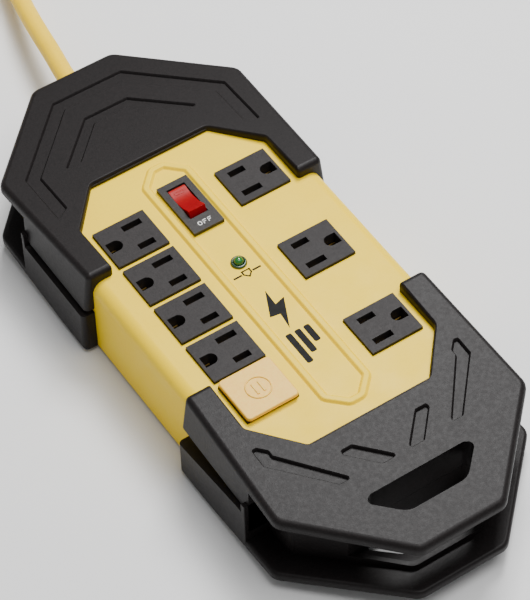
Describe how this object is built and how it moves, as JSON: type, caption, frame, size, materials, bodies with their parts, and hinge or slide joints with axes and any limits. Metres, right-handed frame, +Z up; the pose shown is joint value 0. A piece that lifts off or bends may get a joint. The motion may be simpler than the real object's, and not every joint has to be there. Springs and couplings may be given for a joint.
{
  "type": "power strip",
  "caption": "Industrial surge-protector strip with a steel housing between two end caps, a hand-hold, grounded outlets, a lighted rocker breaker, a lamp and a coiled supply cord.",
  "frame": {"origin": "on the floor under the middle of the strip, cord and plug left out", "axes": "+Z up, +Y along the strip towards the cord end, +X to the right seen from the hand-hold end"},
  "size_m": [0.1581, 0.6407, 0.0505],
  "materials": {
    "yellow_enamel": "gloss powder coat",
    "black_abs": "fine moulded grain",
    "outlet_grey": "fine moulded grain",
    "cover_cream": "satin, translucent",
    "breaker_black": "satin",
    "rocker_red": "translucent, gloss",
    "lamp_glow": "clear bulb",
    "lamp_green": "translucent, gloss",
    "lamp_ring_green": "gloss",
    "bare_brass": "rolled strip",
    "tinned_metal": "tinned",
    "board_green": "solder mask",
    "varistor_blue": "epoxy dip",
    "ceramic_white": "ceramic",
    "copper_wire": "enamelled wire",
    "capacitor_yellow": "moulded box",
    "lead_black": "insulation",
    "lead_white": "insulation",
    "lead_green": "insulation",
    "screw_green": "green dip",
    "screw_steel": "zinc plated",
    "foot_rubber": "matt",
    "cord_yellow": "satin jacket",
    "relief_yellow": "satin",
    "tie_black": "matt",
    "plug_yellow": "satin"
  },
  "bodies": {
    "strip": {"top_cover": "yellow_enamel", "base_plate": "yellow_enamel", "far_cap_upper": "black_abs", "far_cap_lower": "black_abs", "near_cap_upper": "black_abs", "near_cap_lower": "black_abs", "outlet_left_1": "outlet_grey", "outlet_left_2": "outlet_grey", "outlet_left_3": "outlet_grey", "outlet_left_4": "outlet_grey", "outlet_left_5": "outlet_grey", "outlet_right_1": "outlet_grey", "outlet_right_2": "outlet_grey", "outlet_right_3": "outlet_grey", "breaker_housing": "breaker_black", "rocker_lamp": "lamp_glow", "breaker_terminals": "tinned_metal", "lamp_ring": "lamp_ring_green", "lamp_dome": "lamp_green", "surge_board": "board_green", "varistors": "varistor_blue", "thermal_fuse": "ceramic_white", "filter_coil": "copper_wire", "filter_capacitor": "capacitor_yellow", "left_line_bar": "bare_brass", "left_neutral_bar": "bare_brass", "left_ground_bar": "bare_brass", "right_line_bar": "bare_brass", "right_neutral_bar": "bare_brass", "right_ground_bar": "bare_brass", "line_lead": "lead_black", "neutral_lead": "lead_white", "ground_lead": "lead_green", "ground_screw": "screw_green", "base_screws": "screw_steel", "cap_screws": "screw_steel", "rubber_feet": "foot_rubber", "strain_relief": "relief_yellow", "cord": "cord_yellow", "cord_coil": "cord_yellow", "cord_tail": "cord_yellow", "cord_tie": "tie_black", "plug_body": "plug_yellow", "plug_line_blade": "bare_brass", "plug_neutral_blade": "bare_brass", "plug_ground_pin": "bare_brass"},
    "switch_rocker": {"switch_rocker": "rocker_red"},
    "safety_cover": {"safety_cover": "cover_cream"}
  },
  "joints": [
    {"name": "rocker_tilt", "type": "hinge", "parent": "strip", "child": "switch_rocker", "pos_m": [0, 0.0548, 0.0436], "axis": [1, 0, 0], "range_deg": [0, 20]},
    {"name": "cover_pull", "type": "slide", "parent": "strip", "child": "safety_cover", "axis": [0, 0, 1], "range_m": [0, 0.02]}
  ]
}
